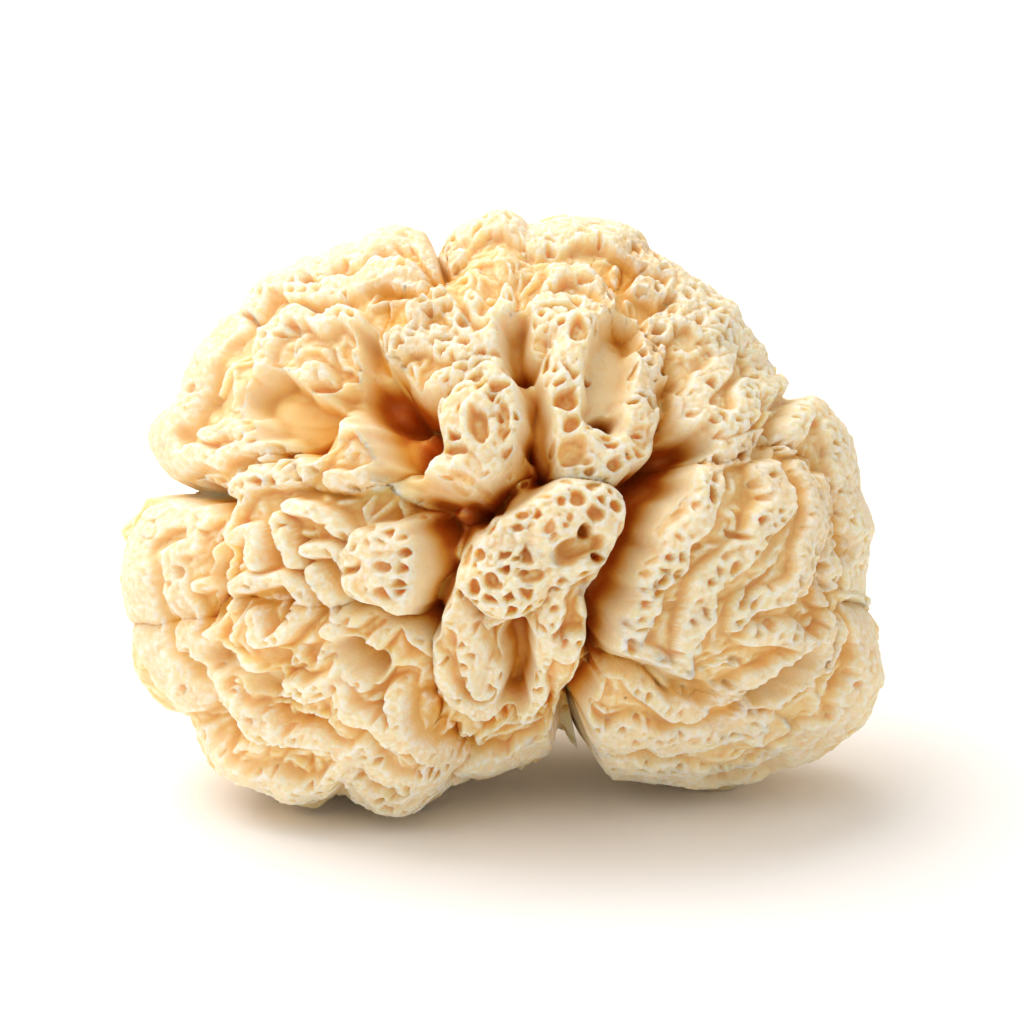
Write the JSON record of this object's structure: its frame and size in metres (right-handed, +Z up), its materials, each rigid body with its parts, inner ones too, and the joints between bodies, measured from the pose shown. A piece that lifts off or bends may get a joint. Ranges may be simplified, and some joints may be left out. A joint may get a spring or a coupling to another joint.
{
  "type": "dried snow fungus",
  "caption": "Dried snow fungus head, a rounded mass of cream fronds with thick pitted lacy crowns round amber hollows, lying on its lower fronds.",
  "frame": {"origin": "middle of the head's footprint box, on the surface it lies on", "axes": "+X across the head to the picture's right, +Y away from the flower side towards the cut foot, +Z up"},
  "size_m": [0.0968, 0.0688, 0.071],
  "materials": {
    "dried_jelly": "dry, faintly waxy, cream with amber hollows"
  },
  "bodies": {
    "root": {"fruit_body": "dried_jelly"}
  },
  "joints": []
}
